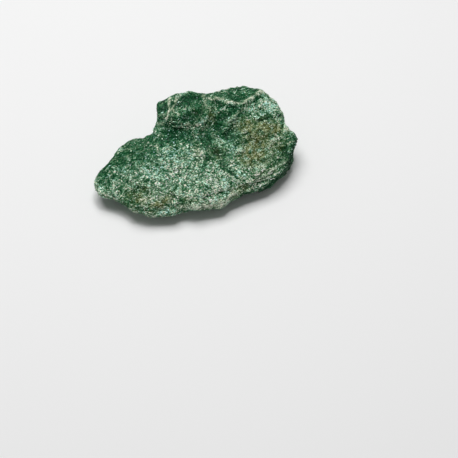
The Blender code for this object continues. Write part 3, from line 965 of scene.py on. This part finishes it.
def make_flakes(name, count, radius, surface, mark, origin, random):
    """Small mica plates lying on the surface or standing out of its torn edges."""
    places, normals, nearest = scatter(surface.data, mark, origin, count, random)
    along, across, lie, facing = flake_axes(places, normals, mark["turned"][nearest], random)
    size = radius * np.clip(random.lognormal(0.0, SIZE_SPREAD, count), *SIZE_LIMITS)
    stretch = np.sqrt(random.uniform(*LENGTH_TO_WIDTH, count))
    lift = random.uniform(*LIFT, count) - SUNK * size * (1.0 - facing)
    tone, hue = flake_tones(mark["shade"][nearest], random)
    points, faces, owners = [], [], []
    for index in range(count):
        sides = FLAKE_SIDES[index % len(FLAKE_SIDES)]
        form = (size[index], stretch[index], along[index], across[index])
        ring = flake_ring(sides, *form, random)
        middle = places[index] + normals[index] * lift[index]
        faces += flake_faces(len(points), sides)
        points.extend(middle + ring + FLAKE_HALF * lie[index])
        points.extend(middle + ring - FLAKE_HALF * lie[index])
        owners += [index] * 2 * sides
    mesh = bpy.data.meshes.new(name)
    mesh.from_pydata(to_row(np.array(points), origin), [], faces)
    mesh.update()
    carried = {
        "shade": tone[owners],
        "cast": (mark["cast"][nearest] + TINT_RANGE * hue)[owners],
        "stain": (FLAKE_STAIN * mark["stain"][nearest])[owners],
        "seam": (mark["seam"][nearest] ** FLAKE_SEAM_POWER)[owners],
    }
    add_marks(mesh, carried)
    return linked(name, mesh)


def new_material(name):
    """A material, its node tree and its shader."""
    material = bpy.data.materials.new(name)
    material.use_nodes = True
    tree = material.node_tree
    return material, tree, tree.nodes["Principled BSDF"]


def set_finish(shader, finish):
    """Sets the shader's values that are the same all over."""
    for name, value in finish.items():
        shader.inputs[name].default_value = value


def add(tree, kind, inputs=(), **settings):
    """A node with its settings, and its inputs set to values or linked to sockets."""
    node = tree.nodes.new(kind)
    for name, value in settings.items():
        setattr(node, name, value)
    for name, value in dict(inputs).items():
        if isinstance(value, bpy.types.NodeSocket):
            tree.links.new(value, node.inputs[name])
        else:
            node.inputs[name].default_value = value
    return node


def maths(tree, operation, *values):
    """The result of this operation on numbers or number sockets."""
    node = add(tree, "ShaderNodeMath", enumerate(values), operation=operation)
    return node.outputs[0]


def times_plus(tree, value, factor, added):
    """The value times a factor, with something added."""
    return maths(tree, "MULTIPLY_ADD", value, factor, added)


def vector_maths(tree, operation, *values):
    """The result of this operation on vectors or vector sockets."""
    node = add(tree, "ShaderNodeVectorMath", enumerate(values), operation=operation)
    return node.outputs[0]


def ramp(tree, factor, tones):
    """The colour at this factor between listed colours."""
    node = add(tree, "ShaderNodeValToRGB", {"Fac": factor})
    stops = node.color_ramp.elements
    while len(stops) < len(tones):
        stops.new(0.5)
    for stop, (position, colour) in zip(stops, tones):
        stop.position = position
        stop.color = (*colour, 1.0)
    return node.outputs["Color"]


def mixed(tree, factor, first, second):
    """The first colour turning to the second as the factor goes from 0 to 1."""
    inputs = {MIX_FACTOR: factor, MIX_FIRST: first, MIX_SECOND: second}
    return add(tree, "ShaderNodeMix", inputs, data_type="RGBA").outputs[MIX_RESULT]


def mark_of(tree, name):
    """One of the marks kept on the mesh's points."""
    return add(tree, "ShaderNodeAttribute", attribute_name=name).outputs["Fac"]


def along_sheets(tree, run, size):
    """Coordinates in units of a grain: long the way the grain runs, wide, and thick."""
    run = math.radians(run)
    long_way = np.array([math.cos(run), math.sin(run), 0.0])
    long_way -= SHEET_NORMAL * (long_way @ SHEET_NORMAL)
    long_way /= np.linalg.norm(long_way)
    axes = np.array([long_way, np.cross(SHEET_NORMAL, long_way), SHEET_NORMAL]) @ FACE_ON
    place = add(tree, "ShaderNodeTexCoord").outputs["Object"]
    turned = {"Vector": place, "Rotation": Matrix(axes).to_euler()}
    turned = add(tree, "ShaderNodeMapping", turned).outputs[0]
    scaled = {"Vector": turned, "Scale": tuple(1.0 / (part * MM) for part in size)}
    return add(tree, "ShaderNodeMapping", scaled).outputs[0]


def speckle(tree, run, size):
    """Noise with grains of this size, 0 to 1."""
    inputs = {"Vector": along_sheets(tree, run, size), "Scale": 1.0, "Detail": GRAIN_DETAIL}
    return add(tree, "ShaderNodeTexNoise", inputs).outputs["Fac"]


def packed_flakes(tree, run, size):
    """A random colour for each flake packed in the rock."""
    inputs = {"Vector": along_sheets(tree, run, size), "Scale": 1.0}
    return add(tree, "ShaderNodeTexVoronoi", inputs).outputs["Color"]


def streaks_along(tree, size):
    """Streaks the way the grain runs, also where it turns."""
    straight = speckle(tree, GRAIN_RUN, size)
    turned = speckle(tree, GRAIN_RUN + GRAIN_TURN, size)
    change = maths(tree, "SUBTRACT", turned, straight)
    return times_plus(tree, change, mark_of(tree, "turned"), straight)


def coloured(tree, tone, hue):
    """Green by tone, tinted by hue, turned olive in the stains and cream along the seams."""
    green = vector_maths(tree, "MULTIPLY", ramp(tree, tone, TONES), ramp(tree, hue, TINTS))
    stained = ramp(tree, tone, STAINED_TONES)
    seam = ramp(tree, tone, SEAM_TONES)
    colour = mixed(tree, mark_of(tree, "stain"), green, stained)
    return mixed(tree, mark_of(tree, "seam"), colour, seam)


def rock_tone(tree, fine, toned, shone):
    """The rock's tone: its shade, the contrast of flakes and grain, painted glints, gaps and
    streaks.
    """
    shade = mark_of(tree, "shade")
    lively = times_plus(tree, shade, *LIVELY)
    firm = times_plus(tree, mark_of(tree, "calm"), *CALMED)
    lively = maths(tree, "MULTIPLY", lively, firm)
    spread = maths(tree, "SUBTRACT", toned, SPREAD_MIDDLE)
    spread = times_plus(tree, fine, GRAIN_SPREAD, spread)
    tone = times_plus(tree, spread, lively, shade)
    glint = maths(tree, "POWER", shone, GLINT_POWER)
    tone = times_plus(tree, glint, GLINT_TONE, tone)
    gap = maths(tree, "POWER", maths(tree, "SUBTRACT", 1.0, shone), GAP_POWER)
    tone = times_plus(tree, gap, GAP_TONE, tone)
    depth = times_plus(tree, mark_of(tree, "smooth"), *STREAK_DEPTH)
    streaks = maths(tree, "SUBTRACT", streaks_along(tree, ROCK_STREAK), STREAK_MIDDLE)
    return maths(tree, "ADD", tone, maths(tree, "MULTIPLY", streaks, depth))


def rock_normal(tree, fine, flakes):
    """The surface's way of facing, tilted a little from flake to flake."""
    tilt = vector_maths(tree, "SUBTRACT", flakes, TILT_MIDDLE)
    tilt = vector_maths(tree, "MULTIPLY", tilt, FLAKE_TILT)
    bump = add(tree, "ShaderNodeBump", {"Height": fine, **BUMP}).outputs[0]
    return vector_maths(tree, "NORMALIZE", vector_maths(tree, "ADD", bump, tilt))


def rock_material():
    """The schist between and under the loose flakes: packed flakes, each a little tilted."""
    material, tree, shader = new_material("fuchsite_rock")
    flakes = packed_flakes(tree, FLAKE_RUN, PACKED_FLAKE)
    fine = speckle(tree, FLAKE_RUN, ROCK_GRAIN)
    split = add(tree, "ShaderNodeSeparateColor", {"Color": flakes}).outputs
    toned, shone, tinted = split[0], split[1], split[2]
    tone = rock_tone(tree, fine, toned, shone)
    hue = times_plus(tree, tinted, TINT_RANGE, mark_of(tree, "cast"))
    tree.links.new(coloured(tree, tone, hue), shader.inputs["Base Color"])
    tree.links.new(rock_normal(tree, fine, flakes), shader.inputs["Normal"])
    tree.links.new(times_plus(tree, shone, *ROCK_ROUGHNESS), shader.inputs["Roughness"])
    set_finish(shader, ROCK_FINISH)
    return material


def flake_material():
    """Loose mica flakes: pearly, and faintly streaked."""
    material, tree, shader = new_material("mica_flake")
    streaks = speckle(tree, GRAIN_RUN, FLAKE_STREAK)
    change = times_plus(tree, streaks, *FLAKE_STREAK_TONE)
    tone = maths(tree, "ADD", mark_of(tree, "shade"), change)
    tree.links.new(coloured(tree, tone, mark_of(tree, "cast")), shader.inputs["Base Color"])
    tree.links.new(times_plus(tree, streaks, *FLAKE_ROUGHNESS), shader.inputs["Roughness"])
    set_finish(shader, FLAKE_FINISH)
    return material


def add_floor():
    """A wide sheet of plain pale paper under the stone."""
    bpy.ops.mesh.primitive_plane_add(size=FLOOR_WIDTH, location=(0.0, 0.0, 0.0))
    floor = bpy.context.object
    floor.name = "floor"
    material, _, shader = new_material("floor_paper")
    set_finish(shader, FLOOR_FINISH)
    floor.data.materials.append(material)


def add_lamp(name, place, size, power):
    """A square soft lamp aimed at the stone."""
    lamp = bpy.data.lights.new(name, "AREA")
    lamp.size = size
    lamp.energy = power
    obj = linked(name, lamp)
    obj.location = place
    obj.rotation_euler = (-Vector(place)).to_track_quat("-Z", "Y").to_euler()


def add_light():
    """The lamps, and an even white light from all round."""
    for lamp in LAMPS:
        add_lamp(*lamp)
    world = bpy.data.worlds.new("studio")
    world.use_nodes = True
    background = world.node_tree.nodes["Background"]
    background.inputs["Color"].default_value = WHITE
    background.inputs["Strength"].default_value = LIGHT_ALL_ROUND
    bpy.context.scene.world = world
    bpy.context.scene.view_settings.view_transform = "Standard"


def add_camera(points):
    """Looks down at the stone so that its rim's middle falls where the photograph has it."""
    turned = points @ FACE_ON.T
    middle = (turned.min(0) + turned.max(0)) / 2 @ FACE_ON
    aim = middle + RIGHT * (PICTURE / 2 - RIM_PIXEL[0]) * PIXEL
    aim -= UP * (PICTURE / 2 - RIM_PIXEL[1]) * PIXEL
    data = bpy.data.cameras.new("camera")
    data.sensor_width = SENSOR
    data.lens = SENSOR * DISTANCE / (PIXEL * PICTURE)
    camera = linked("camera", data)
    camera.location = aim + OUT * DISTANCE
    camera.rotation_euler = Vector(-OUT).to_track_quat("-Z", "Y").to_euler()
    bpy.context.scene.camera = camera


def main():
    """Builds the stone's surface and loose flakes in a lit studio."""
    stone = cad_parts[STONE]
    points = read(stone.data, "co")
    add_camera(points)
    add_light()
    add_floor()
    random = np.random.default_rng(SEED)
    origin = face_on_origin(points)
    surface, mark = make_surface(stone, origin, random)
    surface.data.materials.append(rock_material())
    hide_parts(STONE)
    pieces = [surface]
    mica = flake_material()
    for name, count, radius in FLAKE_GROUPS:
        flakes = make_flakes(name, count, radius, surface, mark, origin, random)
        flakes.data.materials.append(mica)
        pieces.append(flakes)
    for piece in pieces:
        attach(piece, "root")


main()
bpy.context.view_layer.update()
